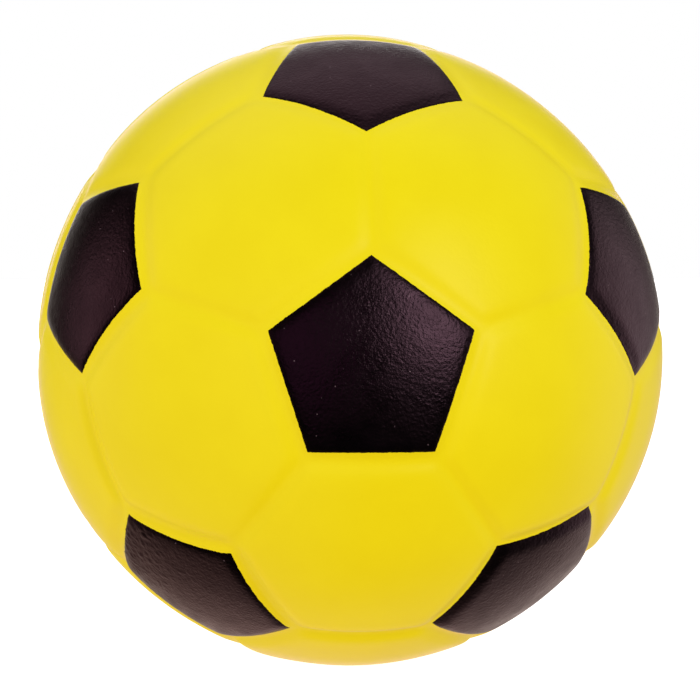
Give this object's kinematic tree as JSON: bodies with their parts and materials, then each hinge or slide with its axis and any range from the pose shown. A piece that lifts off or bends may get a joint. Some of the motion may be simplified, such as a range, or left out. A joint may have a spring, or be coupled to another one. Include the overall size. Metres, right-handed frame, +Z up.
{
  "type": "stress ball",
  "caption": "Soft foam stress ball moulded and painted as a small yellow and black football, to be squeezed in one hand.",
  "frame": {"origin": "centre of the ball", "axes": "-Y out of the middle of the front pentagon, +Z up towards that pentagon's upper corner, +X to the right of somebody facing the front pentagon; the mould's parting plane is y = 0"},
  "size_m": [0.063, 0.0632, 0.0632],
  "materials": {
    "foam": "open cell flexible polyurethane foam, cream",
    "yellow_skin": "satin in-mould polyurethane colour coat, yellow",
    "black_paint": "sprayed elastic polyurethane paint, black, fine orange peel"
  },
  "bodies": {
    "root": {"foam_core": "foam", "front_skin": "yellow_skin", "back_skin": "yellow_skin", "front_pentagon": "black_paint", "back_pentagon": "black_paint", "front_top_pentagon": "black_paint", "front_upper_right_pentagon": "black_paint", "front_lower_right_pentagon": "black_paint", "front_lower_left_pentagon": "black_paint", "front_upper_left_pentagon": "black_paint", "back_upper_right_pentagon": "black_paint", "back_lower_right_pentagon": "black_paint", "back_bottom_pentagon": "black_paint", "back_lower_left_pentagon": "black_paint", "back_upper_left_pentagon": "black_paint"}
  },
  "joints": []
}
